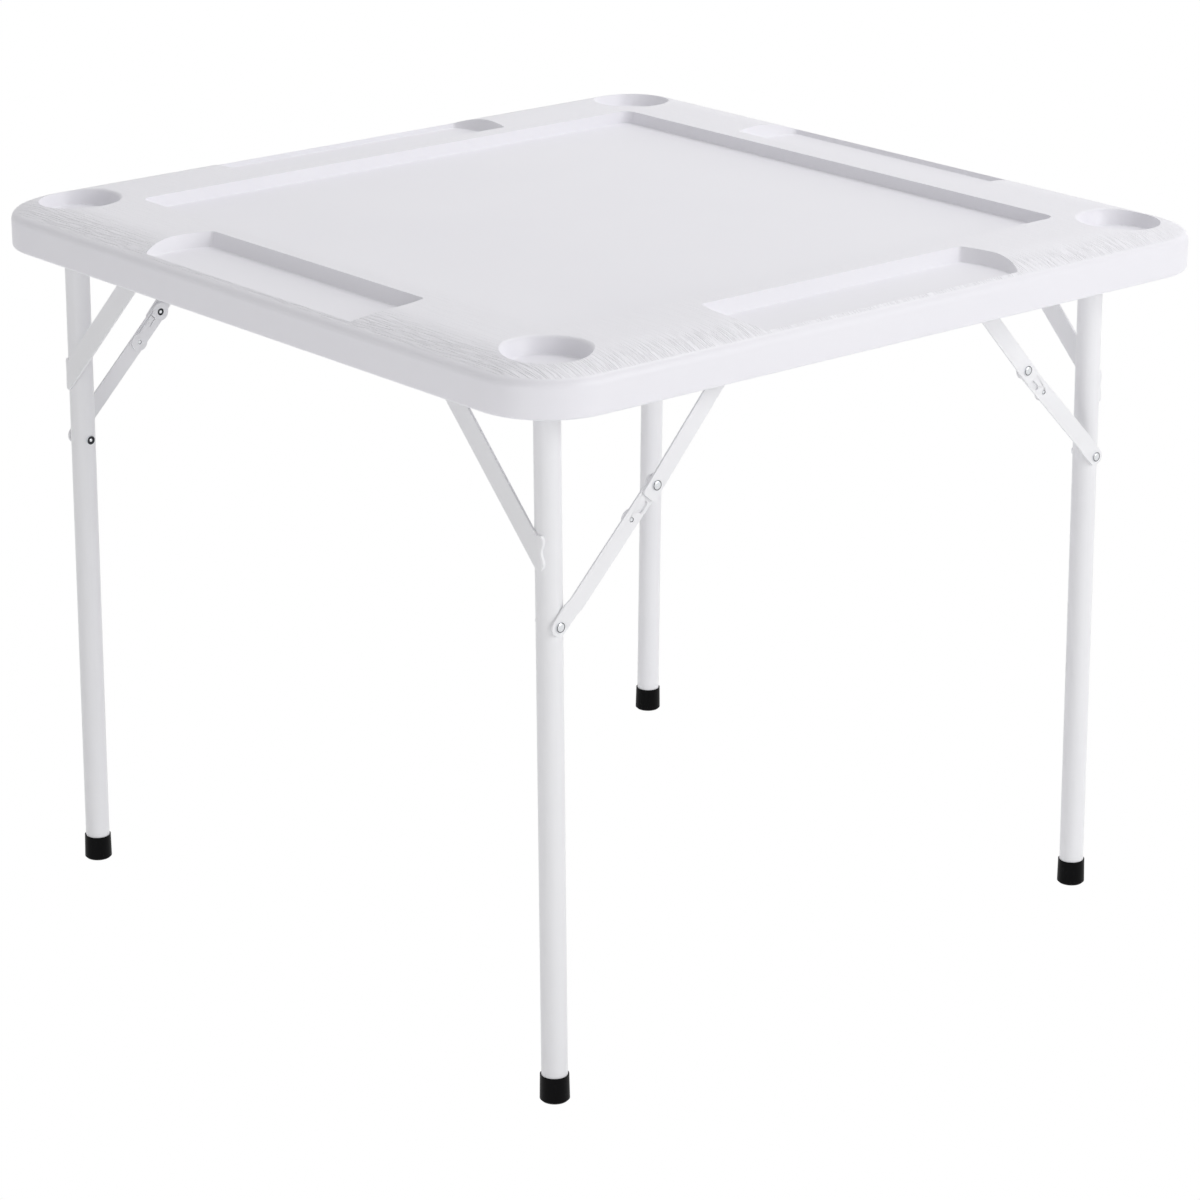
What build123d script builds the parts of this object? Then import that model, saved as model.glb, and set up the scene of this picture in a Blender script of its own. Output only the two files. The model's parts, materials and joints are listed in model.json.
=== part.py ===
from build123d import *
import math
import os

# A square folding card table. A moulded white top carries a sunken play field, four trays and
# four cup holders. Two tube leg frames hinge under it and fold flat, the right one first and
# the left one over it. Millimetres, +Z up, origin on the floor under the middle of the top.
# The left frame folds towards +X and the right frame towards -X. Front is -Y.

os.makedirs("parts", exist_ok=True)

# Top
table_side = 880.0
table_height = 724.0
corner_radius = 75.0
edge_radius = 10.0
rim_height = 37.5
crown_run = 57.0
crown_radius = 128.8
skirt_wall = 22.0
skirt_edge_radius = 3.0
panel_depth = 19.0
pad_inset = 11.0
pad_corner_radius = 24.0
pad_depth = 5.0
pad_edge_chamfer = 1.5

# Play field
rim_band = 115.0
field_corner_radius = 12.0
field_depth = 12.5
field_draft = 3.0
field_floor_radius = 1.2

# Trays, one along each side
tray_gap = 22.0
tray_width = 87.0
tray_length = 334.0
tray_bulge = 8.5
tray_depth = 13.5
tray_draft = 7.0
tray_corner_radius = 4.0
tray_floor_radius = 1.5

# Cup holders, one in each corner
cup_inset = 70.5
cup_diameter = 84.0
cup_floor_diameter = 71.0
cup_depth = 16.0
cup_lip_radius = 5.0
cup_floor_radius = 2.0

# Leg frames
tube_diameter = 25.0
tube_wall = 1.2
weld_gap = 5.0
leg_inset = 67.5
tube_headroom = 3.5
nest_step = 1.2
nest_gap = 5.45
skirt_gap = 9.28
leg_splay = 8.4
plug_flange = 1.0
plug_depth = 9.0

# Foot caps
cap_height = 26.0
cap_floor = 4.0
cap_top_diameter = 27.6
cap_bottom_diameter = 28.6
cap_edge_chamfer = 2.0

# Gussets between a leg and its cross tube
gusset_drop = 149.0
gusset_reach = 143.0
gusset_width = 22.4
gusset_thickness = 2.5
gusset_overlap = 8.0
saddle_wrap_angle = 26.0
saddle_wave = 0.9

# Hinge straps
strap_inset = 82.0
strap_width = 24.0
strap_thickness = 2.0
strap_flange = 14.0

# Folding braces
brace_drop = 219.0
bracket_reach = 205.22
lower_link_angle = 45.5
link_width = 18.0
link_thickness = 2.2
link_corner_radius = 4.0
upper_link_tail = 14.0
joggle_start = 17.0
joggle_run = 9.0
lock_plate_thickness = 1.9
lock_rivet_offset = 39.0
lock_plate_width = 19.0
lock_waist_width = 14.0
lock_slot_length = 13.0
lock_slot_width = 5.0
lock_slot_gap = 7.0
lock_slot_shift = 3.0

# Brackets that carry the braces under the top
anchor_thickness = 2.4
anchor_flange = 10.5
anchor_length = 44.0
anchor_nose_radius = 10.0

# Rivets and screws
rivet_diameter = 6.0
rivet_head_diameter = 10.0
rivet_head_height = 1.9
lock_rivet_diameter = 5.0
screw_diameter = 4.0
screw_head_diameter = 7.6
screw_head_height = 1.6
strap_screw_bite = 8.0
anchor_screw_bite = 4.2

# Clearances
turn_clearance = 0.05
seat_clearance = 0.12
strap_clearance = 0.1
link_clearance = 0.3
cut_overrun = 5.0

# Places worked out from the sizes above
half_side = table_side / 2
corner_centre = half_side - corner_radius
crown_span = crown_radius - edge_radius
crown_angle = math.asin((crown_run - edge_radius) / crown_span)
rim_top = table_height - crown_span * (1 - math.cos(crown_angle))
rim_bottom = rim_top - rim_height
underside = table_height - panel_depth
field_side = table_side - 2 * rim_band
pad_side = field_side - 2 * pad_inset
field_half = field_side / 2
tray_inner = field_half + tray_gap
tray_outer = tray_inner + tray_width
cup_centre = half_side - cup_inset
cup_floor_z = table_height - cup_depth

tube_radius = tube_diameter / 2
leg_x = half_side - leg_inset
rivet_radius = rivet_diameter / 2
screw_radius = screw_diameter / 2

# The brace closes exactly with the leg upright and with it folded flat. Seen from the front
# the hinge is the zero point; the leg rivet is brace_drop below it, and the lower link turns
# right round to lie along the leg.
link_angle = math.radians(lower_link_angle)
bracket_setback = brace_drop - bracket_reach
sloped_reach = bracket_reach * math.cos(link_angle) + brace_drop * math.sin(link_angle)
square_sum = bracket_reach ** 2 + brace_drop ** 2 - bracket_setback ** 2
lower_link_length = square_sum / (2 * (sloped_reach - bracket_setback))
upper_link_length = lower_link_length - bracket_setback
joint_reach = lower_link_length * math.cos(link_angle)
joint_rise = lower_link_length * math.sin(link_angle)
upper_link_angle = math.degrees(math.atan2(brace_drop - joint_rise, bracket_reach - joint_reach))

# Levels across the brace, outward from the middle of the leg tube
pad_level = tube_radius + link_clearance
lock_level = pad_level + turn_clearance
lower_level = lock_level + lock_plate_thickness
upper_level = lower_level + link_thickness + link_clearance
anchor_level = upper_level + link_thickness + link_clearance

# The left frame stands as far out as its brackets allow inside the skirt, and the right frame's
# rivet heads and bracket pass inside the left leg
left_rivet_y = half_side - skirt_wall - skirt_gap - anchor_flange - anchor_thickness - anchor_level
nest_inset = anchor_level + anchor_thickness + rivet_head_height + tube_radius + nest_gap


def frame_sizes(side):
    """Sizes of the left (-1) or right (+1) leg frame; the right one nests inside the left."""
    right = (side + 1) / 2
    hinge_z = underside - tube_headroom - tube_radius + nest_step * right
    tilt = math.atan2(leg_splay, hinge_z)
    rivet_y = left_rivet_y - nest_inset * right
    hinge_half = rivet_y - brace_drop * math.tan(tilt)
    return {"hinge_z": hinge_z, "hinge_half": hinge_half, "tilt": tilt, "rivet_y": rivet_y,
            "leg_length": math.hypot(hinge_z, leg_splay)}


def to_corner(shape, side, end):
    """Mirror a piece made for the left rear corner to the corner asked for."""
    if side > 0:
        shape = mirror(shape, about=Plane.YZ)
    if end < 0:
        shape = mirror(shape, about=Plane.XZ)
    return shape


def rounded_square(side, radius, height):
    return Pos(0, 0, height) * RectangleRounded(side, side, radius)


def rod_y(radius, start, length, x, z):
    """A round bar along +Y from y = start."""
    return Pos(x, start, z) * Rot(-90, 0, 0) * Cylinder(radius, length, align=(Align.CENTER, Align.CENTER, Align.MIN))


def tray_outline(grow, height):
    """One tray's outline on the +X side, arched at its two ends."""
    inner = tray_inner - grow
    outer = tray_outer + grow
    half = tray_length / 2 + grow
    middle = (inner + outer) / 2
    peak = half + tray_bulge
    outline = Line((inner, -half), (inner, half))
    outline += ThreePointArc((inner, half), (middle, peak), (outer, half))
    outline += Line((outer, half), (outer, -half))
    outline += ThreePointArc((outer, -half), (middle, -peak), (inner, -half))
    face = make_face(outline)
    face = fillet(face.vertices(), tray_corner_radius)
    return Pos(0, 0, height) * face


def tray_cutter():
    """The hollow of one tray, with drafted walls and a rounded floor edge."""
    top = table_height + cut_overrun
    floor = table_height - tray_depth
    drift = tray_draft * (top - floor) / tray_depth
    cutter = loft([tray_outline(-tray_draft, floor), tray_outline(drift - tray_draft, top)], ruled=True)
    return fillet(cutter.edges().group_by(Axis.Z)[0], tray_floor_radius)


def field_cutter():
    """The hollow of the play field."""
    floor = table_height - field_depth
    drift = field_draft * cut_overrun / field_depth
    low = rounded_square(field_side - 2 * field_draft, field_corner_radius - field_draft, floor)
    high = rounded_square(field_side + 2 * drift, field_corner_radius + drift, table_height + cut_overrun)
    cutter = loft([low, high], ruled=True)
    return fillet(cutter.edges().group_by(Axis.Z)[0], field_floor_radius)


def cup_cutter():
    """The hollow of one cup holder: a turned dish with a flat floor and a rounded lip."""
    lip_z = table_height + turn_clearance
    lip = cup_diameter / 2
    brim = lip + 2 * cup_lip_radius
    above = table_height + cut_overrun
    profile = make_face(Polyline((0, cup_floor_z), (cup_floor_diameter / 2, cup_floor_z), (lip, lip_z), (brim, lip_z),
                                 (brim, above), (0, above), close=True))
    floor_corner = profile.vertices().group_by(Axis.Y)[0].sort_by(Axis.X)[-1]
    profile = fillet(floor_corner, cup_floor_radius)
    lip_corner = profile.vertices().group_by(Axis.Y)[-2].sort_by(Axis.X)[0]
    profile = fillet(lip_corner, cup_lip_radius)
    return Pos(cup_centre, cup_centre, 0) * revolve(Plane.XZ * profile, Axis.Z)


def strap_screw_places(side):
    """Where the two screws of one hinge strap go."""
    sizes = frame_sizes(side)
    reach = tube_radius + strap_clearance + strap_thickness + strap_flange / 2
    y = sizes["hinge_half"] - strap_inset
    return [(-leg_x - reach, y), (-leg_x + reach, y)]


def anchor_screw_places(side):
    """Where the two screws of one brace bracket go."""
    y = frame_sizes(side)["rivet_y"] + anchor_level + (anchor_thickness + anchor_flange) / 2
    spread = anchor_length / 2 - screw_head_diameter
    return [(-leg_x + bracket_reach - spread, y), (-leg_x + bracket_reach + spread, y)]


def rim_profile():
    """Half a section of the top, upward from the skirt's lower edge: side, edge round, crown, flat."""
    side_top = rim_top - edge_radius
    crown_start = (half_side - crown_run, table_height)
    half_turn = crown_angle / 2
    crown_middle = (half_side - crown_run + crown_radius * math.sin(half_turn),
                    table_height - crown_radius * (1 - math.cos(half_turn)))
    crown_end = (half_side - crown_run + crown_radius * math.sin(crown_angle),
                 table_height - crown_radius * (1 - math.cos(crown_angle)))
    edge_turn = (math.pi / 2 + crown_angle) / 2
    edge_middle = (half_side - edge_radius + edge_radius * math.sin(edge_turn),
                   side_top + edge_radius * math.cos(edge_turn))
    round_cut = skirt_edge_radius * (1 - math.sqrt(0.5))
    lower_start = (half_side, rim_bottom + skirt_edge_radius)
    lower_middle = (half_side - round_cut, rim_bottom + round_cut)
    lower_end = (half_side - skirt_edge_radius, rim_bottom)
    outline = ThreePointArc(crown_start, crown_middle, crown_end)
    outline += ThreePointArc(crown_end, edge_middle, (half_side, side_top))
    outline += Line((half_side, side_top), lower_start)
    outline += ThreePointArc(lower_start, lower_middle, lower_end)
    outline += Polyline(lower_end, (corner_centre, rim_bottom), (corner_centre, table_height), crown_start)
    return Plane.XZ * make_face(outline)


def top_block():
    """The outside of the top: four equal sides and four turned corners round a square core."""
    core_size = 2 * corner_centre
    core = Pos(0, 0, rim_bottom) * Box(core_size, core_size, table_height - rim_bottom,
                                       align=(Align.CENTER, Align.CENTER, Align.MIN))
    side = extrude(rim_profile(), corner_centre, both=True)
    corner_axis = Axis((corner_centre, -corner_centre, 0), (0, 0, 1))
    corner = revolve(Pos(0, -corner_centre, 0) * rim_profile(), corner_axis, -90)
    block = core
    for turn in range(4):
        block += Rot(0, 0, 90 * turn) * side
        block += Rot(0, 0, 90 * turn) * corner
    return block


def tabletop():
    """The moulded top: crowned rim, sunken field, trays, cups, skirt and underside."""
    top = top_block()
    cavity = extrude(rounded_square(table_side - 2 * skirt_wall, corner_radius - skirt_wall, rim_bottom),
                     underside - rim_bottom)
    top -= cavity
    pad = extrude(rounded_square(pad_side, pad_corner_radius, underside - pad_depth), pad_depth)
    top += chamfer(pad.edges().group_by(Axis.Z)[0], pad_edge_chamfer)
    top -= field_cutter()
    tray = tray_cutter()
    cup = cup_cutter()
    for turn in range(4):
        top -= Rot(0, 0, 90 * turn) * tray
        top -= Rot(0, 0, 90 * turn) * cup
    pilot = screw_radius + turn_clearance
    for side in (-1, 1):
        for end in (-1, 1):
            for x, y in strap_screw_places(side):
                hole = Cylinder(pilot, strap_screw_bite + turn_clearance, align=(Align.CENTER, Align.CENTER, Align.MIN))
                top -= to_corner(Pos(x, y, underside) * hole, side, end)
            for x, y in anchor_screw_places(side):
                hole = Cylinder(pilot, anchor_screw_bite + turn_clearance, align=(Align.CENTER, Align.CENTER, Align.MIN))
                top -= to_corner(Pos(x, y, underside) * hole, side, end)
    return top


def screw(bite, grip):
    """A low round-headed screw pointing up, its head's seat at z = 0."""
    head = Cylinder(screw_head_diameter / 2, screw_head_height, align=(Align.CENTER, Align.CENTER, Align.MAX))
    head = chamfer(head.edges().group_by(Axis.Z)[0], screw_head_height / 2)
    return head + Cylinder(screw_radius, grip + bite, align=(Align.CENTER, Align.CENTER, Align.MIN))


def hinge_strap(side):
    """A bent steel strap that holds the cross tube up against the top."""
    sizes = frame_sizes(side)
    inner = tube_radius + strap_clearance
    outer = inner + strap_thickness
    rise = underside - sizes["hinge_z"]
    profile = Circle(outer) + Pos(0, rise / 2) * Rectangle(2 * outer, rise)
    profile += Pos(0, rise - strap_thickness / 2) * Rectangle(2 * (outer + strap_flange), strap_thickness)
    profile -= Circle(inner) + Pos(0, rise / 2) * Rectangle(2 * inner, rise)
    strap = extrude(Plane.XZ * profile, strap_width / 2, both=True)
    strap = Pos(-leg_x, sizes["hinge_half"] - strap_inset, sizes["hinge_z"]) * strap
    for x, y in strap_screw_places(side):
        strap -= Pos(x, y, underside) * Cylinder(screw_radius + turn_clearance, 4 * strap_thickness)
    return strap


def cross_tube(side):
    """The tube under the top that both legs of a frame are welded to."""
    sizes = frame_sizes(side)
    half = sizes["hinge_half"] + tube_radius
    tube = rod_y(tube_radius, -half, 2 * half, -leg_x, sizes["hinge_z"])
    return tube - rod_y(tube_radius - tube_wall, -half, 2 * half, -leg_x, sizes["hinge_z"])


def end_plug(side):
    """The plastic plug in one end of the cross tube."""
    sizes = frame_sizes(side)
    end = sizes["hinge_half"] + tube_radius
    flange = rod_y(tube_radius, end, plug_flange, -leg_x, sizes["hinge_z"])
    flange = chamfer(flange.edges().group_by(Axis.Y)[-1], plug_flange / 2)
    insert_radius = tube_radius - tube_wall - turn_clearance
    return flange + rod_y(insert_radius, end - plug_depth, plug_depth, -leg_x, sizes["hinge_z"])


def leg_frame_place(side):
    """The leg's own axes: zero at the hinge, -Z down the leg."""
    sizes = frame_sizes(side)
    return Pos(-leg_x, sizes["hinge_half"], sizes["hinge_z"]) * Rot(math.degrees(sizes["tilt"]), 0, 0)


def leg(side):
    """A leg tube, coped round the cross tube and drilled for the brace rivet."""
    sizes = frame_sizes(side)
    length = sizes["leg_length"] - cap_floor - weld_gap
    tube = Cylinder(tube_radius, length, align=(Align.CENTER, Align.CENTER, Align.MAX))
    tube -= Cylinder(tube_radius - tube_wall, length, align=(Align.CENTER, Align.CENTER, Align.MAX))
    tube = leg_frame_place(side) * Pos(0, 0, -weld_gap) * tube
    tube -= rod_y(tube_radius + turn_clearance, 0, 2 * sizes["hinge_half"], -leg_x, sizes["hinge_z"])
    rivet_z = sizes["hinge_z"] - brace_drop
    reach = 2 * tube_diameter
    return tube - rod_y(rivet_radius + turn_clearance, sizes["rivet_y"] - reach, 2 * reach, -leg_x, rivet_z)


def foot_cap(side):
    """A black foot cap, cut level at the floor."""
    sizes = frame_sizes(side)
    spare = cap_bottom_diameter * math.tan(sizes["tilt"])
    height = cap_height + spare
    cap = Cone(cap_bottom_diameter / 2, cap_top_diameter / 2, height, align=(Align.CENTER, Align.CENTER, Align.MIN))
    cap = chamfer(cap.edges().group_by(Axis.Z)[0], cap_edge_chamfer)
    bore = Cylinder(tube_radius + turn_clearance, height, align=(Align.CENTER, Align.CENTER, Align.MIN))
    cap -= Pos(0, 0, cap_floor + spare) * bore
    cap = leg_frame_place(side) * Pos(0, 0, -sizes["leg_length"] - spare) * cap
    floor_block = Box(table_side, table_side, cap_height, align=(Align.CENTER, Align.MIN, Align.MAX))
    return cap - Pos(-leg_x, 0, 0) * floor_block


def saddle(length):
    """The curled end of a gusset: a strip of shell round a tube along Z, with a wavy free edge."""
    inner = tube_radius + turn_clearance
    outer = inner + gusset_thickness
    ring = Circle(outer) - Circle(inner)
    shell = extrude(ring, length / 2, both=True)
    wrap = outer * math.sin(math.radians(saddle_wrap_angle))
    wave = saddle_wave
    edge = Spline((wrap - wave, -length / 2), (wrap + wave, -length / 4), (wrap - wave, 0),
                  (wrap + wave, length / 4), (wrap - wave, length / 2))
    edge += Line((wrap - wave, length / 2), (0, length / 2))
    edge += Line((0, length / 2), (0, -length / 2))
    edge += Line((0, -length / 2), (wrap - wave, -length / 2))
    window = extrude(Plane.YZ * make_face(edge), -outer)
    return shell & window


def gusset(side):
    """A flat bar across the corner of the frame, with a curled saddle at each end."""
    inner = tube_radius + turn_clearance
    slope = math.atan2(gusset_drop, gusset_reach)
    leg_half = gusset_width / 2 / math.cos(slope)
    tube_half = gusset_width / 2 / math.sin(slope)
    high = gusset_reach + gusset_overlap / math.tan(slope)
    outline = Polyline((0, -gusset_drop - leg_half), (0, -gusset_drop + leg_half),
                       (-high + tube_half, gusset_overlap), (-high - tube_half, gusset_overlap), close=True)
    plate = extrude(Plane.YZ * make_face(outline), -gusset_thickness)
    plate = Pos(-inner, 0, 0) * plate
    lower_saddle = Pos(0, 0, -gusset_drop) * saddle(2 * leg_half)
    return leg_frame_place(side) * (plate + lower_saddle)


def leg_rivet(side):
    """The rivet through the leg that the brace turns on."""
    sizes = frame_sizes(side)
    z = sizes["hinge_z"] - brace_drop
    outer_seat = sizes["rivet_y"] + pad_level + link_thickness
    inner_seat = sizes["rivet_y"] - tube_radius - seat_clearance
    rivet = rod_y(rivet_radius, inner_seat, outer_seat - inner_seat, -leg_x, z)
    outer_head = rod_y(rivet_head_diameter / 2, outer_seat, rivet_head_height, -leg_x, z)
    inner_head = rod_y(rivet_head_diameter / 2, inner_seat - rivet_head_height, rivet_head_height, -leg_x, z)
    rivet += chamfer(outer_head.edges().group_by(Axis.Y)[-1], rivet_head_height / 2)
    return rivet + chamfer(inner_head.edges().group_by(Axis.Y)[0], rivet_head_height / 2)


def link_place(side, level, start, angle):
    """Axes of a brace link: +X along the link, +Y across it, +Z outward from the leg."""
    sizes = frame_sizes(side)
    x = -leg_x + start[0]
    z = sizes["hinge_z"] + start[1]
    plane = Plane(origin=(x, sizes["rivet_y"] + level, z),
                  x_dir=(math.cos(math.radians(angle)), 0, math.sin(math.radians(angle))), z_dir=(0, 1, 0))
    return plane.location


def lower_place(side, level):
    return link_place(side, level, (0, -brace_drop), lower_link_angle)


def upper_place(side, level):
    return link_place(side, level, (joint_reach, joint_rise - brace_drop), upper_link_angle)


def rivet_hole(at, radius):
    return Pos(at, 0, 0) * Cylinder(radius, 4 * tube_diameter)


def lower_link(side):
    """The lower brace bar: joggled in towards the leg at its rivet, slotted beside the lock rivet."""
    end = lower_link_length
    width = Pos(end / 2, 0) * SlotCenterToCenter(end, link_width)
    prism = extrude(width, 2 * tube_diameter, both=True)
    low = pad_level - lower_level
    before = -link_width
    after = end + link_width
    bend_end = joggle_start + joggle_run
    bend = Polyline((before, low), (joggle_start, low), (bend_end, 0), (after, 0), (after, link_thickness),
                    (bend_end, link_thickness), (joggle_start, low + link_thickness),
                    (before, low + link_thickness), close=True)
    strip = extrude(Plane.XZ * make_face(bend), link_width, both=True)
    bar = strip & prism
    bar -= rivet_hole(0, rivet_radius + turn_clearance)
    bar -= rivet_hole(end, rivet_radius + turn_clearance)
    bar -= rivet_hole(end - lock_rivet_offset, lock_rivet_diameter / 2 + turn_clearance)
    slot_at = end - lock_rivet_offset + lock_rivet_diameter / 2 + lock_slot_gap + lock_slot_length / 2
    slot = Pos(slot_at, lock_slot_shift) * SlotOverall(lock_slot_length, lock_slot_width)
    bar -= extrude(slot, 2 * link_thickness, both=True)
    return lower_place(side, lower_level) * bar


def lock_plate(side):
    """The plate behind the lower bar, narrowed between its two rivets."""
    end = lower_link_length
    low = end - lock_rivet_offset
    discs = Pos(end, 0) * Circle(lock_plate_width / 2) + Pos(low, 0) * Circle(lock_plate_width / 2)
    waist = Pos((end + low) / 2, 0) * Rectangle(lock_rivet_offset, lock_waist_width)
    plate = extrude(discs + waist, lock_plate_thickness - turn_clearance)
    plate -= rivet_hole(end, rivet_radius + turn_clearance)
    plate -= rivet_hole(low, lock_rivet_diameter / 2 + turn_clearance)
    return lower_place(side, lock_level) * plate


def lock_rivet(side):
    """The small rivet, flush on both sides, that fixes the lock plate."""
    height = lower_level - lock_level + link_thickness
    pin = Cylinder(lock_rivet_diameter / 2, height, align=(Align.CENTER, Align.CENTER, Align.MIN))
    return lower_place(side, lock_level) * Pos(lower_link_length - lock_rivet_offset, 0, 0) * pin


def joint_rivet_inner(side):
    """The inner half of the brace's middle rivet, flush on both sides."""
    height = lower_level - lock_level + link_thickness
    pin = Cylinder(rivet_radius, height, align=(Align.CENTER, Align.CENTER, Align.MIN))
    return lower_place(side, lock_level) * Pos(lower_link_length, 0, 0) * pin


def joint_rivet_outer(side):
    """The outer half of the brace's middle rivet, with its head."""
    pin = Cylinder(rivet_radius, link_thickness, align=(Align.CENTER, Align.CENTER, Align.MIN))
    head = Cylinder(rivet_head_diameter / 2, rivet_head_height, align=(Align.CENTER, Align.CENTER, Align.MIN))
    head = chamfer(head.edges().group_by(Axis.Z)[-1], rivet_head_height / 2)
    return upper_place(side, upper_level) * (pin + Pos(0, 0, link_thickness) * head)


def upper_link(side):
    """The upper brace bar, squared off below the middle rivet and rounded at the bracket."""
    length = upper_link_length
    body = Pos((length - upper_link_tail) / 2, 0) * Rectangle(length + upper_link_tail, link_width)
    body = fillet(body.vertices().sort_by(Axis.X)[:2], link_corner_radius)
    body += Pos(length, 0) * Circle(link_width / 2)
    bar = extrude(body, link_thickness)
    bar -= rivet_hole(0, rivet_radius + turn_clearance)
    bar -= rivet_hole(length, rivet_radius + turn_clearance)
    return upper_place(side, upper_level) * bar


def anchor(side):
    """The bracket under the top that the upper brace bar turns on."""
    sizes = frame_sizes(side)
    rise = underside - sizes["hinge_z"]
    half = anchor_length / 2
    shoulder = rise - anchor_thickness
    ear_face = make_face(Polyline((-anchor_nose_radius, 0), (-half, shoulder), (-half, rise), (half, rise),
                                  (half, shoulder), (anchor_nose_radius, 0), close=True))
    ear_face += Circle(anchor_nose_radius)
    ear_face -= Circle(rivet_radius + turn_clearance)
    ear = extrude(Plane.XZ * ear_face, -anchor_thickness)
    flange = Pos(0, 0, rise) * Box(anchor_length, anchor_thickness + anchor_flange, anchor_thickness,
                                   align=(Align.CENTER, Align.MIN, Align.MAX))
    flange = fillet(flange.edges().filter_by(Axis.Z).sort_by(Axis.Y)[-2:], link_corner_radius)
    bracket = Pos(-leg_x + bracket_reach, sizes["rivet_y"] + anchor_level, sizes["hinge_z"]) * (ear + flange)
    for x, y in anchor_screw_places(side):
        bracket -= Pos(x, y, underside) * Cylinder(screw_radius + turn_clearance, 4 * anchor_thickness)
    return bracket


def anchor_rivet(side):
    """The rivet through the bracket, flush with the inner face of the upper bar."""
    sizes = frame_sizes(side)
    x = -leg_x + bracket_reach
    start = sizes["rivet_y"] + upper_level
    seat = sizes["rivet_y"] + anchor_level + anchor_thickness
    pin = rod_y(rivet_radius, start, seat - start, x, sizes["hinge_z"])
    head = rod_y(rivet_head_diameter / 2, seat, rivet_head_height, x, sizes["hinge_z"])
    return pin + chamfer(head.edges().group_by(Axis.Y)[-1], rivet_head_height / 2)


def save(name, shapes):
    """Write one node, which may hold several separate solids."""
    solids = [solid for shape in shapes for solid in shape.solids()]
    node = solids[0] if len(solids) == 1 else Compound(children=solids)
    export_step(node, os.path.join("parts", name + ".step"))


sides = {"left": -1, "right": 1}
ends = {"front": -1, "rear": 1}
strap_screws = []
anchor_screws = []
anchor_rivets = []

save("tabletop", [tabletop()])
for side_name, side in sides.items():
    save(side_name + "_cross_tube", [to_corner(cross_tube(side), side, 1)])
    plug = end_plug(side)
    save(side_name + "_end_plugs", [to_corner(plug, side, end) for end in ends.values()])
    rivet = leg_rivet(side)
    save(side_name + "_leg_rivets", [to_corner(rivet, side, end) for end in ends.values()])
    corner_pieces = {
        "hinge_strap": hinge_strap(side),
        "anchor": anchor(side),
        "leg": leg(side),
        "foot_cap": foot_cap(side),
        "gusset": gusset(side),
        "lower_link": lower_link(side),
        "lock_plate": lock_plate(side),
        "lock_rivet": lock_rivet(side),
        "joint_rivet_inner": joint_rivet_inner(side),
        "joint_rivet_outer": joint_rivet_outer(side),
        "upper_link": upper_link(side),
    }
    strap_screw = screw(strap_screw_bite, strap_thickness)
    anchor_screw = screw(anchor_screw_bite, anchor_thickness)
    for end_name, end in ends.items():
        for piece_name, piece in corner_pieces.items():
            save("_".join((side_name, end_name, piece_name)), [to_corner(piece, side, end)])
        for x, y in strap_screw_places(side):
            strap_screws.append(to_corner(Pos(x, y, underside - strap_thickness) * strap_screw, side, end))
        for x, y in anchor_screw_places(side):
            anchor_screws.append(to_corner(Pos(x, y, underside - anchor_thickness) * anchor_screw, side, end))
        anchor_rivets.append(to_corner(anchor_rivet(side), side, end))
save("strap_screws", strap_screws)
save("anchor_screws", anchor_screws)
save("anchor_rivets", anchor_rivets)
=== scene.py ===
import bpy
import json
import math
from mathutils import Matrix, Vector


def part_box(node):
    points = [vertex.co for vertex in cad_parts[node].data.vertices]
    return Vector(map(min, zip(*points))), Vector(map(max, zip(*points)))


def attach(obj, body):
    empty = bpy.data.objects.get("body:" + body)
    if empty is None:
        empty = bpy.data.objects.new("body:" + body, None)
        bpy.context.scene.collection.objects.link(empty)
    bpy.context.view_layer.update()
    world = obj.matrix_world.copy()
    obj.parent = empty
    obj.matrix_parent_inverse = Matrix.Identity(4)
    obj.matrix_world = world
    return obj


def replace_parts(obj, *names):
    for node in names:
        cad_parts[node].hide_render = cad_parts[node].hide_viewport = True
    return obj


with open("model.json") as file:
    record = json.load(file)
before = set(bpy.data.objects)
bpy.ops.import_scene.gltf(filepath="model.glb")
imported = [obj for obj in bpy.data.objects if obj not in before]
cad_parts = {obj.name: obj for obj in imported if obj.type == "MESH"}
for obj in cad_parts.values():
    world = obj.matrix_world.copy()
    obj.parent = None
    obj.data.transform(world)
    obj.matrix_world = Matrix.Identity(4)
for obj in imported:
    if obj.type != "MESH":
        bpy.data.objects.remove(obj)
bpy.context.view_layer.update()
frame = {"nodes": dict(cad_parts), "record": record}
nodes = frame["nodes"]
print("stage: frame loaded, pieces", len(nodes))

mm = 0.001  # everything below is written in millimetres and turned to metres with this


def linear(hexColour):
    # sRGB hex to the linear colour that a shader socket takes
    values = [int(hexColour[i:i + 2], 16) / 255 for i in (1, 3, 5)]
    return tuple(v / 12.92 if v <= 0.04045 else ((v + 0.055) / 1.055) ** 2.4 for v in values) + (1,)


def addNode(holder, kind, settings=None, links=None, **inputs):
    # one node: plain settings, links as socket to output, and socket values by name
    node = holder.node_tree.nodes.new(kind)
    for name, value in (settings or {}).items():
        setattr(node, name, value)
    for name, value in inputs.items():
        node.inputs[name.replace("_", " ")].default_value = value
    for socket, output in (links or {}).items():
        holder.node_tree.links.new(output, node.inputs[socket])
    return node


def newMaterial(name):
    material = bpy.data.materials.new(name)
    material.use_nodes = True
    material.node_tree.nodes.clear()
    return material


def finishMaterial(material, links, **values):
    shader = addNode(material, "ShaderNodeBsdfPrincipled", links=links, **values)
    addNode(material, "ShaderNodeOutputMaterial", links={"Surface": shader.outputs["BSDF"]})
    return material


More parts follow.
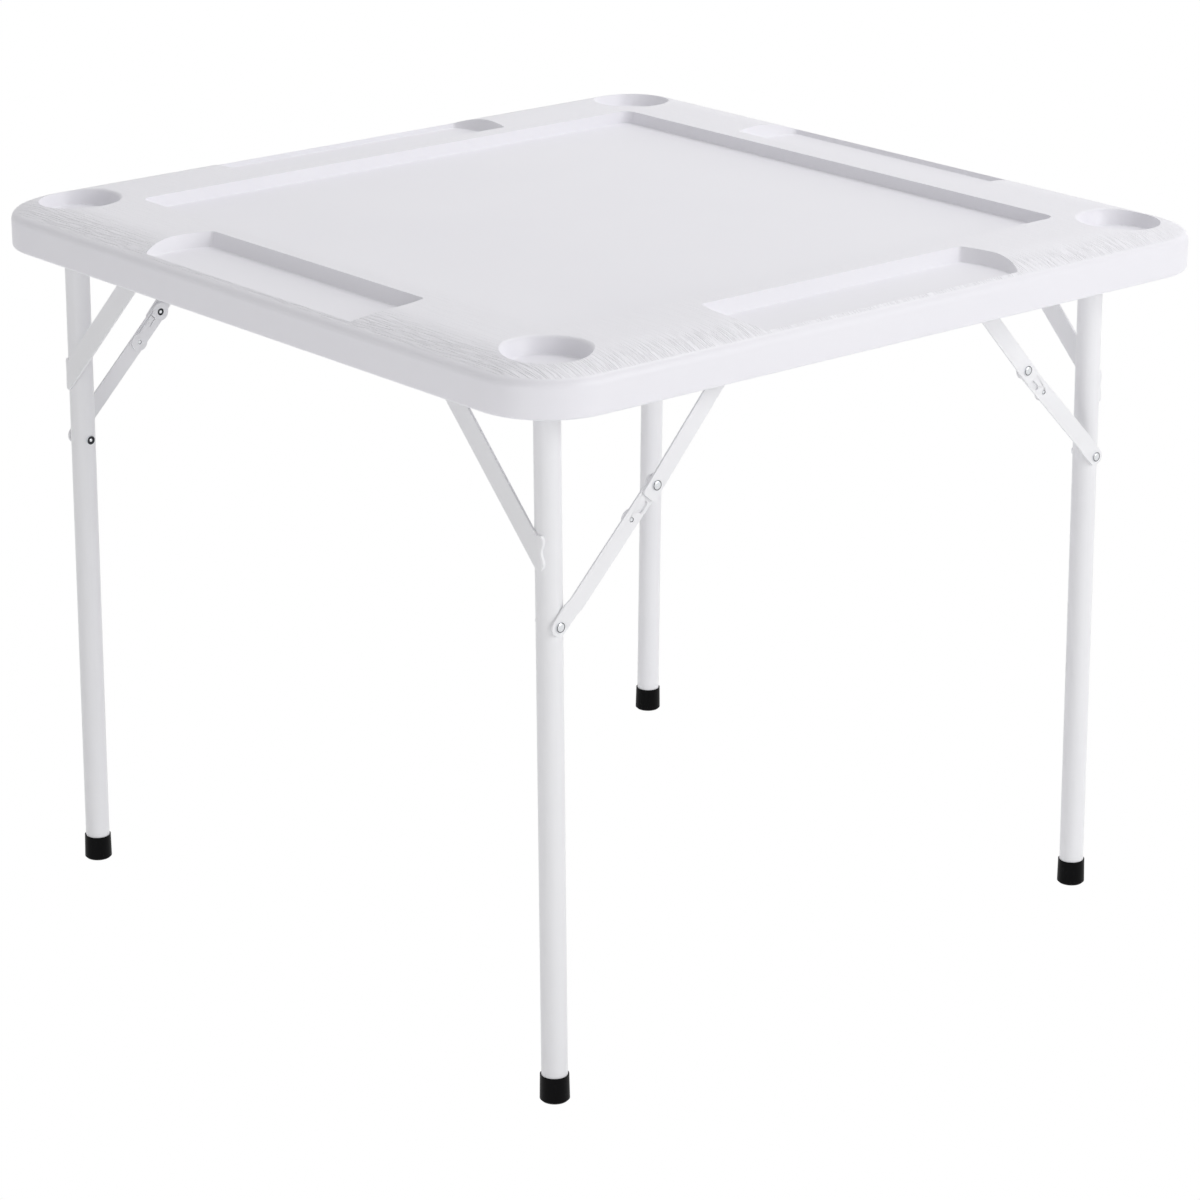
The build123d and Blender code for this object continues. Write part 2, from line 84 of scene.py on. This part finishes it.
def driftingWhite(material, place, look):
    # moulded and coated whites are never quite even: the colour drifts slowly between two of them
    cloud = addNode(material, "ShaderNodeTexNoise", links={"Vector": place},
                    Scale=1 / (look["cloud"] * mm), Detail=look["cloudDetail"])
    tint = addNode(material, "ShaderNodeMix", {"data_type": "RGBA"}, {"Factor": cloud.outputs["Fac"]},
                   A=linear(look["shade"]), B=linear(look["colour"]))
    return {"Base Color": tint.outputs["Result"]}


def fineGrit(material, place, look, under=None):
    # fine unevenness: a shallow bump over whatever lies under it, and a roughness that varies with it
    grit = addNode(material, "ShaderNodeTexNoise", links={"Vector": place},
                   Scale=1 / (look["grit"] * mm), Detail=look["gritDetail"])
    bump = addNode(material, "ShaderNodeBump", links={"Height": grit.outputs["Fac"]} | (under or {}),
                   Strength=look["gritStrength"], Distance=look["gritDepth"] * mm)
    rough = addNode(material, "ShaderNodeMapRange", links={"Value": grit.outputs["Fac"]},
                    To_Min=look["roughness"] - look["roughSpread"],
                    To_Max=look["roughness"] + look["roughSpread"])
    return {"Roughness": rough.outputs["Result"], "Normal": bump.outputs["Normal"]}


materials = {}

# Blow-moulded polyethylene: soft satin white with a faint pebble, and the mould's drawn grain on the rim.
# The real pebble is nearer half a millimetre and is drawn coarser, so that it shows
topLook = {"colour": "#f3f2f7", "shade": "#efeef4", "ior": 1.54,
           "cloud": 180.0, "cloudDetail": 3.0,
           "roughness": 0.42, "roughSpread": 0.05,
           "grit": 1.2, "gritDetail": 2.0, "gritDepth": 0.08, "gritStrength": 0.35,
           "grainWidth": 1.9, "grainLength": 34.0, "grainDepth": 0.6,  # streaks that run along Y
           "grainDetail": 2.0, "grainWander": 0.4,
           "grainCut": (0.36, 0.64),  # noise levels between which a streak's side rises
           "grainHeight": (713.0, 713.6),  # it starts above the hollows
           "grainFade": (720.0, 724.0), "grainAtTop": 0.3,  # and weakens where the rim gets flat
           "grainFacing": (0.86, 0.93)}  # a wall has none, and a face that looks up this far has all of it


def mouldedPolyethylene(name, look):
    material = newMaterial(name)
    where = addNode(material, "ShaderNodeTexCoord")
    place = where.outputs["Object"]
    height = addNode(material, "ShaderNodeSeparateXYZ", links={"Vector": place}).outputs["Z"]
    facing = addNode(material, "ShaderNodeSeparateXYZ", links={"Vector": where.outputs["Normal"]}).outputs["Z"]
    across, along = 1 / (look["grainWidth"] * mm), 1 / (look["grainLength"] * mm)
    stretched = addNode(material, "ShaderNodeMapping", {"vector_type": "POINT"}, {"Vector": place},
                        Scale=(across, along, along))
    streaks = addNode(material, "ShaderNodeTexNoise", links={"Vector": stretched.outputs["Vector"]},
                      Scale=1.0, Detail=look["grainDetail"], Distortion=look["grainWander"])
    grain = addNode(material, "ShaderNodeMapRange", {"interpolation_type": "SMOOTHSTEP"},
                    {"Value": streaks.outputs["Fac"]},
                    From_Min=look["grainCut"][0], From_Max=look["grainCut"][1])
    onRim = addNode(material, "ShaderNodeMapRange", links={"Value": height},
                    From_Min=look["grainHeight"][0] * mm, From_Max=look["grainHeight"][1] * mm)
    faceUp = addNode(material, "ShaderNodeMapRange", links={"Value": facing},
                     From_Min=look["grainFacing"][0], From_Max=look["grainFacing"][1])
    fades = addNode(material, "ShaderNodeMapRange", links={"Value": height},
                    From_Min=look["grainFade"][0] * mm, From_Max=look["grainFade"][1] * mm,
                    To_Min=1.0, To_Max=look["grainAtTop"])
    grained = addNode(material, "ShaderNodeMath", {"operation": "MULTIPLY"},
                      {0: onRim.outputs["Result"], 1: faceUp.outputs["Result"]})
    shown = addNode(material, "ShaderNodeMath", {"operation": "MULTIPLY"},
                    {0: grained.outputs["Value"], 1: fades.outputs["Result"]})
    grainBump = addNode(material, "ShaderNodeBump",
                        links={"Height": grain.outputs["Result"], "Strength": shown.outputs["Value"]},
                        Distance=look["grainDepth"] * mm)
    surface = fineGrit(material, place, look, {"Normal": grainBump.outputs["Normal"]})
    return finishMaterial(material, driftingWhite(material, place, look) | surface, IOR=look["ior"])


materials["white_resin"] = mouldedPolyethylene("blowMouldedPolyethylene", topLook)

# Powder coat on steel tube and strip: white, a little glossier than the top, with fine orange peel
steelLook = {"colour": "#f3f3f5", "shade": "#efeff2", "ior": 1.5,
             "cloud": 90.0, "cloudDetail": 2.0,
             "roughness": 0.34, "roughSpread": 0.04,
             "grit": 1.6, "gritDetail": 2.0, "gritDepth": 0.05, "gritStrength": 0.3}


def powderCoat(name, look):
    material = newMaterial(name)
    place = addNode(material, "ShaderNodeTexCoord").outputs["Object"]
    surface = fineGrit(material, place, look)
    return finishMaterial(material, driftingWhite(material, place, look) | surface, IOR=look["ior"])


materials["white_painted_steel"] = powderCoat("whitePowderCoat", steelLook)

# Zinc-plated steel: bright grey metal with faint tool marks, and a darker copy of it that is painted shade in the
# gaps and hollows round the rivets
zincLook = {"colour": "#dfe1e4", "roughness": 0.26, "roughSpread": 0.08,
            "grit": 0.8, "gritDetail": 3.0, "gritDepth": 0.02, "gritStrength": 0.2}
seatShadeLook = zincLook | {"colour": "#3c3d41", "roughness": 0.6, "gritDepth": 0.03}


def zincPlate(name, look):
    material = newMaterial(name)
    place = addNode(material, "ShaderNodeTexCoord").outputs["Object"]
    return finishMaterial(material, fineGrit(material, place, look),
                          Base_Color=linear(look["colour"]), Metallic=1.0)


materials["zinc_steel"] = zincPlate("zincPlatedSteel", zincLook)
# painted shade: this dark zinc stands for the shadow in a rivet's groove, hollow and seat
materials["paintedSeatShade"] = zincPlate("paintedShadeRivetSeat", seatShadeLook)

# Moulded rubber feet and polyethylene plugs, both black: soft highlights and a spark-eroded grain.
# The real grain is about a tenth of a millimetre and is drawn coarser, so that it shows
rubberLook = {"colour": "#070708", "ior": 1.52, "specular": 0.06, "roughness": 0.42, "roughSpread": 0.07,
              "grit": 0.9, "gritDetail": 2.0, "gritDepth": 0.05, "gritStrength": 0.3}
plugLook = rubberLook | {"colour": "#141415", "ior": 1.5, "specular": 0.3, "roughness": 0.5, "gritDepth": 0.04}


def blackMoulding(name, look):
    material = newMaterial(name)
    place = addNode(material, "ShaderNodeTexCoord").outputs["Object"]
    return finishMaterial(material, fineGrit(material, place, look), Base_Color=linear(look["colour"]),
                          IOR=look["ior"], Specular_IOR_Level=look["specular"])


materials["black_rubber"] = blackMoulding("mouldedBlackRubber", rubberLook)
materials["black_plastic"] = blackMoulding("mouldedBlackPolyethylene", plugLook)

bodyOf = {node: body for body, held in frame["record"]["behaviour"]["bodies"].items() for node in held}
slotOf = {part["node"]: part["material_slot"] for part in frame["record"]["subparts"]}


def dress(piece, *finishes):
    piece.data.materials.clear()
    for finish in finishes:
        piece.data.materials.append(materials[finish])


for node, kind in slotOf.items():
    dress(nodes[node], kind)
print("stage: finishes on the frame's own pieces")


def onlyThis(piece):
    bpy.ops.object.select_all(action="DESELECT")
    piece.select_set(True)
    bpy.context.view_layer.objects.active = piece


def pickFaces(piece, wanted):
    # goes into edit mode with just those faces selected
    bpy.ops.object.mode_set(mode="EDIT")
    bpy.ops.mesh.select_mode(type="FACE")
    bpy.ops.mesh.select_all(action="DESELECT")
    bpy.ops.object.mode_set(mode="OBJECT")
    for face in piece.data.polygons:
        face.select = wanted(face.normal)
    bpy.ops.object.mode_set(mode="EDIT")


def facesUp(normal):
    return normal.z > 0.9


def facesDown(normal):
    return normal.z < -0.9


def smoothShade(piece, angle):
    # smooth over the rounds while the broad faces beside them stay flat
    bpy.ops.object.shade_smooth_by_angle(angle=math.radians(angle))
    weighted = piece.modifiers.new("flatBroadFaces", "WEIGHTED_NORMAL")
    weighted.keep_sharp = True
    bpy.ops.object.modifier_apply(modifier=weighted.name)


def cutAway(piece, cutter):
    # takes the cutter's shape out of the piece, and the cutter with it
    onlyThis(piece)
    cut = piece.modifiers.new("cutAway", "BOOLEAN")
    cut.operation = "DIFFERENCE"
    cut.object = cutter
    bpy.ops.object.modifier_apply(modifier=cut.name)
    bpy.data.objects.remove(cutter)


def easeLips(piece, look):
    # rounds only the sharp edges above a height, in edit mode
    bpy.ops.object.mode_set(mode="EDIT")
    bpy.ops.mesh.select_mode(type="EDGE")
    bpy.ops.mesh.select_all(action="DESELECT")
    bpy.ops.mesh.edges_select_sharp(sharpness=math.radians(look["angle"]))
    bpy.ops.object.mode_set(mode="OBJECT")
    points, edges = piece.data.vertices, piece.data.edges
    for edge in edges:
        edge.select = edge.select and all(points[i].co.z > look["above"] * mm for i in edge.vertices)
    held = {i for edge in edges if edge.select for i in edge.vertices}
    for point in points:
        point.select = point.index in held
    bpy.ops.object.mode_set(mode="EDIT")
    bpy.ops.mesh.bevel(offset=look["ease"] * mm, segments=look["segments"], affect="EDGES", clamp_overlap=True)
    bpy.ops.object.mode_set(mode="OBJECT")
    smoothShade(piece, look["smooth"])


def easeEdges(piece, look):
    # rounds every edge that is sharper than an angle
    bevel = piece.modifiers.new("easedEdges", "BEVEL")
    bevel.width = look["ease"] * mm
    bevel.segments = look["segments"]
    bevel.limit_method = "ANGLE"
    bevel.angle_limit = math.radians(look["angle"])
    bevel.use_clamp_overlap = True
    bpy.ops.object.modifier_apply(modifier=bevel.name)
    smoothShade(piece, look["smooth"])


def easedCopy(node, name, look, cutters=(), ease=easeEdges):
    # a merged copy of a frame piece, cut and with its edges rounded, shown in its place
    piece = nodes[node].copy()
    piece.data = nodes[node].data.copy()
    piece.name = name
    piece.parent = None
    bpy.context.scene.collection.objects.link(piece)
    onlyThis(piece)
    bpy.ops.object.mode_set(mode="EDIT")
    bpy.ops.mesh.select_all(action="SELECT")
    bpy.ops.mesh.remove_doubles(threshold=0.005 * mm)
    bpy.ops.object.mode_set(mode="OBJECT")
    for cutter in cutters:
        cutAway(piece, cutter)
    onlyThis(piece)
    ease(piece, look)
    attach(piece, bodyOf[node])
    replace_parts(piece, node)
    return piece


def middle(node):
    low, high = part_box(node)
    return (low + high) / 2 / mm


def reach(node, across, along):
    # nearest and furthest distance along Y from the middle of the table, of a node's points in one quarter
    points = [v.co for v in nodes[node].data.vertices]
    depths = [abs(p.y) / mm for p in points if p.x * across > 0 and p.y * along > 0]
    return min(depths), max(depths)


# The moulded top: the lips of its field, trays and cups are rounded as moulded plastic is,
# and dishes pressed up from below tie the two skins of the moulding together
shellLook = {"ease": 0.9, "segments": 3, "angle": 35, "smooth": 40, "above": 712.6}
dishLook = {"pitch": 44.0, "rows": 13, "mouth": 10.0, "floor": 6.0, "deep": 3.2, "sides": 14,
            "within": 320.0, "overrun": 1.0}


def dishCutter(look):
    # one tapered plug through the panel's lower face, then rows of it both ways
    panelZ = min(v.co.z for v in nodes["tabletop"].data.vertices
                 if max(abs(v.co.x), abs(v.co.y)) < look["within"] * mm) / mm
    first = -look["pitch"] * (look["rows"] - 1) / 2
    spread = (look["mouth"] - look["floor"]) / look["deep"] * look["overrun"]
    midZ = panelZ + (look["deep"] - look["overrun"]) / 2
    bpy.ops.object.select_all(action="DESELECT")
    bpy.ops.mesh.primitive_cone_add(vertices=look["sides"], radius1=(look["mouth"] + spread) * mm,
                                    radius2=look["floor"] * mm, depth=(look["deep"] + look["overrun"]) * mm,
                                    location=(first * mm, first * mm, midZ * mm))
    plugs = bpy.context.object
    bpy.ops.object.transform_apply(location=True)
    for step in ((look["pitch"] * mm, 0, 0), (0, look["pitch"] * mm, 0)):
        row = plugs.modifiers.new("row", "ARRAY")
        row.count = look["rows"]
        row.use_relative_offset = False
        row.use_constant_offset = True
        row.constant_offset_displace = step
        bpy.ops.object.modifier_apply(modifier=row.name)
    return plugs


easedCopy("tabletop", "mouldedTop", shellLook, [dishCutter(dishLook)], easeLips)

# Bent and punched sheet steel, with the small round that the coat leaves on its edges
sheetLook = {"ease": 0.35, "segments": 2, "angle": 40, "smooth": 40}
sheetParts = ("hinge_strap", "anchor", "gusset", "lower_link", "upper_link")
quarters = {side + "_" + end: (-1 if side == "left" else 1, -1 if end == "front" else 1)
            for side in ("left", "right") for end in ("front", "rear")}  # each corner's signs in X and Y
for corner in quarters:
    for part in sheetParts:
        easedCopy(corner + "_" + part, corner + "_" + part + "_eased", sheetLook)

# The lock plate: its catch is a stepped slit beside the middle rivet, and that rivet lies in a seat whose faces are
# painted dark as shade.
# The slit's corners are measured from that rivet, towards it from the lock rivet and sideways
catchLook = {"slit": 0.8, "corners": [(-9.5, 14.0), (-9.5, 1.6), (-20.0, 0.6)], "reach": 30.0,
             "seat": 3.8, "seatDepth": 0.6, "seatSides": 32, "seatRim": 0.05, "seatSkin": 0.1,
             "shape": sheetLook | {"ease": 0.2}}


def catchCutters(look, joint, up, aside, seatY):
    cutters = []
    path = [joint + up * u + aside * v for u, v in look["corners"]]
    for start, end in zip(path, path[1:]):
        step = end - start
        bpy.ops.object.select_all(action="DESELECT")
        bpy.ops.mesh.primitive_cube_add(
            size=1, location=(start + step / 2) * mm, rotation=(0, -math.atan2(step.z, step.x), 0),
            scale=((step.length + look["slit"]) * mm, look["reach"] * mm, look["slit"] * mm))
        cutters.append(bpy.context.object)
    bpy.ops.object.select_all(action="DESELECT")
    bpy.ops.mesh.primitive_cylinder_add(
        vertices=look["seatSides"], radius=look["seat"] * mm, depth=2 * look["seatDepth"] * mm,
        location=(joint.x * mm, seatY * mm, joint.z * mm), rotation=(math.radians(90), 0, 0))
    cutters.append(bpy.context.object)
    return cutters


for corner, (across, along) in quarters.items():
    joint, lock = middle(corner + "_joint_rivet_inner"), middle(corner + "_lock_rivet")
    near, far = reach(corner + "_lock_plate", across, along)
    up = (joint - lock).normalized()
    aside = Vector((up.z, 0, -up.x)) * across
    plate = easedCopy(corner + "_lock_plate", corner + "_lock_plate_cut", catchLook["shape"],
                      catchCutters(catchLook, joint, up, aside, along * near))
    # the faces inside the seat get painted shade, the dark zinc that stands for its shadow
    plate.data.materials.append(materials["paintedSeatShade"])
    for face in plate.data.polygons:
        at = face.center / mm
        inSeat = math.hypot(at.x - joint.x, at.z - joint.z) < catchLook["seat"] + catchLook["seatRim"]
        face.material_index = 1 if inSeat and abs(at.y) > near + catchLook["seatSkin"] else 0
print("stage: top and sheet steel")

# Foot caps and end plugs, soft at every edge
capLook = {"ease": 0.7, "segments": 3, "angle": 30, "smooth": 50}
plugShape = {"ease": 0.4, "segments": 2, "angle": 30, "smooth": 50}
for corner in quarters:
    easedCopy(corner + "_foot_cap", corner + "_foot_cap_eased", capLook)
for side in ("left", "right"):
    easedCopy(side + "_end_plugs", side + "_end_plugs_eased", plugShape)


def placeCopy(pattern, name, place, turn, body):
    # a copy with its own mesh, put in its place, with that place applied to the mesh
    piece = pattern.copy()
    piece.data = pattern.data.copy()
    piece.name = name
    bpy.context.scene.collection.objects.link(piece)
    piece.location = [v * mm for v in place]
    piece.rotation_euler = [math.radians(angle) for angle in turn]
    onlyThis(piece)
    bpy.ops.object.transform_apply(location=True, rotation=True, scale=False)
    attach(piece, body)
    return piece


# Tubular rivets. Each step of a rivet's end is how far in, how far out, and whether it gets painted shade, the dark
# zinc that stands for the shadow in its groove or hollow
rivetLook = {"sides": 32, "smooth": 35, "pin": 3.0, "pinLength": 2.0, "nose": 10.0,  # nose: the bracket's round end
             "headRadius": 5.0, "headHeight": 1.9, "bodyHeight": 1.2,
             "clinchRadius": 4.8, "clinchHeight": 1.8, "lockRadius": 2.5,
             "head": [(0.3, 0.0, False), (0.12, -0.45, True), (0.5, 0.0, True), (0.1, 0.55, True),
                      (0.5, 0.32, False), (0.8, 0.18, False), (0.9, 0.08, False), (0.9, 0.02, False)],
             "clinch": [(0.35, 0.0, False), (0.35, -0.75, True), (2.3, 0.0, True), (0.25, 0.5, False),
                        (0.5, 0.2, False)],
             "flush": [(1.25, 0.0, True), (0.1, 0.45, True), (0.5, 0.13, False)],
             "dimple": [(0.35, 0.0, False), (0.45, -0.4, True), (0.5, -0.05, False)]}


def rivetEnd(name, steps, radius, height, pinLength=0):
    # built on the origin with its end upwards: a drum, its stepped end, and its pin below
    look = rivetLook
    bpy.ops.object.select_all(action="DESELECT")
    bpy.ops.mesh.primitive_cylinder_add(vertices=look["sides"], radius=radius * mm, depth=height * mm,
                                        location=(0, 0, height / 2 * mm))
    piece = bpy.context.object
    piece.name = name
    bpy.ops.object.transform_apply(location=True)
    dress(piece, "zinc_steel", "paintedSeatShade")
    pickFaces(piece, facesUp)
    for inwards, outwards, paintedShade in steps:
        bpy.ops.mesh.inset(thickness=inwards * mm, depth=outwards * mm)
        bpy.ops.object.mode_set(mode="OBJECT")
        cap = [face for face in piece.data.polygons if face.select][0]
        onCap = set(cap.vertices)
        for face in piece.data.polygons:
            if face != cap and len(onCap & set(face.vertices)) == 2:  # the ring that this step has made
                # a shaded step's ring takes the second slot, zinc painted dark as shade
                face.material_index = 1 if paintedShade else 0
        bpy.ops.object.mode_set(mode="EDIT")
    if pinLength:
        pickFaces(piece, facesDown)
        bpy.ops.mesh.inset(thickness=(radius - look["pin"]) * mm)
        bpy.ops.mesh.extrude_region_move(TRANSFORM_OT_translate={"value": (0, 0, -pinLength * mm)})
    bpy.ops.object.mode_set(mode="OBJECT")
    bpy.ops.object.shade_smooth_by_angle(angle=math.radians(look["smooth"]))
    return piece


def placeRivet(pattern, name, at, y, towards, body):
    # turned to face along +Y or -Y
    return placeCopy(pattern, name, (at.x, y, at.z), (-90 if towards > 0 else 90, 0, 0), body)


headHeight = rivetLook["headHeight"]
near, far = reach("left_rear_joint_rivet_inner", -1, 1)
headPattern = rivetEnd("rivetHead", rivetLook["head"], rivetLook["headRadius"], rivetLook["bodyHeight"],
                       rivetLook["pinLength"])
clinchPattern = rivetEnd("rivetClinch", rivetLook["clinch"], rivetLook["clinchRadius"],
                         rivetLook["clinchHeight"], rivetLook["pinLength"])
flushPattern = rivetEnd("rivetFlush", rivetLook["flush"], rivetLook["pin"], far - near - catchLook["seatDepth"])
dimplePattern = rivetEnd("lockRivet", rivetLook["dimple"], rivetLook["lockRadius"], (far - near) / 2)
pivots, legRivets, anchorRivets = {}, {"left": [], "right": []}, []
for corner, (across, along) in quarters.items():
    # the leg rivet: a domed head outside and a rolled end inside
    side = corner.split("_")[0]
    node = side + "_leg_rivets"
    at = middle(node)
    near, far = reach(node, across, along)
    legRivets[side].append(placeRivet(headPattern, corner + "_legRivetHead", at, along * (far - headHeight),
                                      along, bodyOf[node]))
    legRivets[side].append(placeRivet(clinchPattern, corner + "_legRivetClinch", at,
                                      along * (near + headHeight), -along, bodyOf[node]))
    # the middle rivet: its head on the upper bar and its flush end in the lock plate's seat
    node = corner + "_joint_rivet_outer"
    near, far = reach(node, across, along)
    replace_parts(placeRivet(headPattern, corner + "_jointRivetHead", middle(node), along * (far - headHeight),
                           along, bodyOf[node]), node)
    node = corner + "_joint_rivet_inner"
    near, far = reach(node, across, along)
    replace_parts(placeRivet(flushPattern, corner + "_jointRivetEnd", middle(node), along * far,
                           -along, bodyOf[node]), node)
    # the lock rivet, dimpled at both ends
    node = corner + "_lock_rivet"
    near, far = reach(node, across, along)
    ends = [placeRivet(dimplePattern, corner + "_lockRivet_" + name, middle(node), along * (near + far) / 2,
                       towards, bodyOf[node]) for name, towards in (("outer", along), ("inner", -along))]
    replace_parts(ends[0], node)
    # the bracket's rivet, in the middle of the bracket's round end
    low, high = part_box(corner + "_anchor")
    pivots[corner] = Vector(((low.x + high.x) / 2 / mm, 0, low.z / mm + rivetLook["nose"]))
    near, far = reach("anchor_rivets", across, along)
    anchorRivets.append(placeRivet(headPattern, corner + "_anchorRivetHead", pivots[corner],
                                   along * (far - headHeight), along, "root"))
for side in ("left", "right"):
    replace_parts(legRivets[side][0], side + "_leg_rivets")
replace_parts(anchorRivets[0], "anchor_rivets")
for pattern in (headPattern, clinchPattern, flushPattern, dimplePattern):
    bpy.data.objects.remove(pattern)
print("stage: caps, plugs and rivets")

# Cross-recessed screws that hold the straps and brackets, modelled head down
screwLook = {"head": 3.8, "height": 1.6, "shank": 2.0, "shankLength": 6.4, "sides": 32, "smooth": 40,
             "crown": 0.9, "crownSteps": 4,
             "slotLength": 4.0, "slotWidth": 0.9, "slotDepth": 1.0, "slotOverrun": 1.0, "slotTaper": 0.62}
screwPlaces = {"strapSpread": 21.6, "strapSteel": 2.0, "anchorSpread": 14.4, "anchorReach": 6.45,
               "anchorSteel": 2.4, "cornerTurn": 37, "handTurn": 22, "anchorTurn": 15}


def crossScrew(look):
    bpy.ops.object.select_all(action="DESELECT")
    bpy.ops.mesh.primitive_cylinder_add(vertices=look["sides"], radius=look["head"] * mm,
                                        depth=look["height"] * mm, location=(0, 0, -look["height"] / 2 * mm))
    screw = bpy.context.object
    screw.name = "crossScrew"
    bpy.ops.object.transform_apply(location=True)
    pickFaces(screw, facesUp)
    bpy.ops.mesh.inset(thickness=(look["head"] - look["shank"]) * mm)
    bpy.ops.mesh.extrude_region_move(TRANSFORM_OT_translate={"value": (0, 0, look["shankLength"] * mm)})
    pickFaces(screw, facesDown)
    bpy.ops.mesh.bevel(offset=look["crown"] * mm, segments=look["crownSteps"], affect="EDGES")
    bpy.ops.object.mode_set(mode="OBJECT")
    slotHeight = look["slotDepth"] + look["slotOverrun"]
    slotZ = -look["height"] + (look["slotDepth"] - look["slotOverrun"]) / 2
    for turn in (0, 90):
        bpy.ops.object.select_all(action="DESELECT")
        bpy.ops.mesh.primitive_cube_add(
            size=1, location=(0, 0, slotZ * mm), rotation=(0, 0, math.radians(turn)),
            scale=(look["slotLength"] * mm, look["slotWidth"] * mm, slotHeight * mm))
        cutter = bpy.context.object
        bpy.ops.object.transform_apply(location=True, rotation=True, scale=True)
        pickFaces(cutter, facesUp)
        bpy.ops.transform.resize(value=(look["slotTaper"], look["slotTaper"], 1))
        bpy.ops.object.mode_set(mode="OBJECT")
        cutAway(screw, cutter)
    onlyThis(screw)
    bpy.ops.object.shade_smooth_by_angle(angle=math.radians(look["smooth"]))
    dress(screw, "zinc_steel")
    return screw


pattern = crossScrew(screwLook)
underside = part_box("left_rear_hinge_strap")[1].z / mm
strapScrews, anchorScrews = [], []
for number, (corner, (across, along)) in enumerate(quarters.items()):
    strap, pivot = middle(corner + "_hinge_strap"), pivots[corner]
    low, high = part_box(corner + "_anchor")
    backEdge = (low.y if along > 0 else high.y) / mm
    for hand in (-1, 1):
        turn = screwPlaces["cornerTurn"] * number + screwPlaces["handTurn"] * hand
        place = (strap.x + hand * screwPlaces["strapSpread"], strap.y, underside - screwPlaces["strapSteel"])
        strapScrews.append(placeCopy(pattern, f"{corner}_strapScrew_{hand + 1}", place, (0, 0, turn), "root"))
        place = (pivot.x + hand * screwPlaces["anchorSpread"], backEdge + along * screwPlaces["anchorReach"],
                 underside - screwPlaces["anchorSteel"])
        anchorScrews.append(placeCopy(pattern, f"{corner}_anchorScrew_{hand + 1}", place,
                                      (0, 0, turn + screwPlaces["anchorTurn"]), "root"))
bpy.data.objects.remove(pattern)
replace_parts(strapScrews[0], "strap_screws")
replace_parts(anchorScrews[0], "anchor_screws")
print("stage: screws", len(strapScrews) + len(anchorScrews))

# Camera, from the fit of the photograph
cameraLook = {"place": (-2518.04, -2958.87, 1662.10), "yaw": 49.532, "pitch": 19.214, "roll": -0.064,
              "lens": 119.188, "sensor": 36.0, "furthest": 100.0}
bpy.ops.object.select_all(action="DESELECT")
bpy.ops.object.camera_add(location=[v * mm for v in cameraLook["place"]],
                          rotation=(math.radians(90 - cameraLook["pitch"]), math.radians(cameraLook["roll"]),
                                    math.radians(cameraLook["yaw"] - 90)))
camera = bpy.context.object
camera.name = "photoCamera"
camera.data.lens = cameraLook["lens"]
camera.data.sensor_width = cameraLook["sensor"]
camera.data.clip_end = cameraLook["furthest"]
bpy.context.scene.camera = camera

# Floor and soft studio light, in metres
studio = {"floorSize": 12.0, "floorZ": -0.0005, "floorColour": "#ffffff", "ambient": 0.43, "aim": (0, 0, 0.45),
          "key": {"place": (1.6, -4.2, 2.3), "size": 3.0, "power": 79.0},
          "lowFill": {"place": (-3.6, -1.6, 0.3), "size": 1.6, "power": 27.0},
          "topLight": {"place": (1.8, 0.6, 4.0), "size": 2.5, "power": 49.0}}


def softLight(name, look):
    away = Vector(look["place"]) - Vector(studio["aim"])
    bpy.ops.object.light_add(type="AREA", location=look["place"],
                             rotation=away.to_track_quat("Z", "Y").to_euler())
    lamp = bpy.context.object
    lamp.name = name
    lamp.data.shape = "DISK"
    lamp.data.size = look["size"]
    lamp.data.energy = look["power"]
    lamp.visible_camera = False


def plainToTheEye(holder, lit, plain):
    # the camera, reflections and glass see the plain shader, and everything else gets the lit one
    rays = addNode(holder, "ShaderNodeLightPath")
    seen = addNode(holder, "ShaderNodeMath", {"operation": "MAXIMUM"},
                   {0: rays.outputs["Is Camera Ray"], 1: rays.outputs["Is Glossy Ray"]})
    seenAll = addNode(holder, "ShaderNodeMath", {"operation": "MAXIMUM"},
                      {0: seen.outputs["Value"], 1: rays.outputs["Is Transmission Ray"]})
    return addNode(holder, "ShaderNodeMixShader",
                   links={0: seenAll.outputs["Value"], 1: lit.outputs[0], 2: plain.outputs[0]})


for name in ("key", "lowFill", "topLight"):
    softLight(name, studio[name])

bpy.ops.mesh.primitive_plane_add(size=studio["floorSize"], location=(0, 0, studio["floorZ"]))
floor = bpy.context.object
floor.name = "paleFloor"
floorPaint = newMaterial("paleFloorPaint")
matte = addNode(floorPaint, "ShaderNodeBsdfDiffuse", Color=linear(studio["floorColour"]))
white = addNode(floorPaint, "ShaderNodeEmission", Color=(1, 1, 1, 1), Strength=1.0)
painted = plainToTheEye(floorPaint, matte, white)
beneath = addNode(floorPaint, "ShaderNodeNewGeometry")
clear = addNode(floorPaint, "ShaderNodeBsdfTransparent")  # views from below look through the floor
floorShader = addNode(floorPaint, "ShaderNodeMixShader",
                      links={0: beneath.outputs["Backfacing"], 1: painted.outputs[0], 2: clear.outputs[0]})
addNode(floorPaint, "ShaderNodeOutputMaterial", links={"Surface": floorShader.outputs[0]})
floor.data.materials.append(floorPaint)

world = bpy.data.worlds.new("studioWhite")
bpy.context.scene.world = world
world.use_nodes = True
world.node_tree.nodes.clear()
ambient = addNode(world, "ShaderNodeBackground", Color=(1, 1, 1, 1), Strength=studio["ambient"])
backdrop = addNode(world, "ShaderNodeBackground", Color=(1, 1, 1, 1), Strength=1.0)
worldShader = plainToTheEye(world, ambient, backdrop)
addNode(world, "ShaderNodeOutputWorld", links={"Surface": worldShader.outputs[0]})

bpy.context.scene.view_settings.view_transform = "Standard"
print("stage: camera, floor and light")
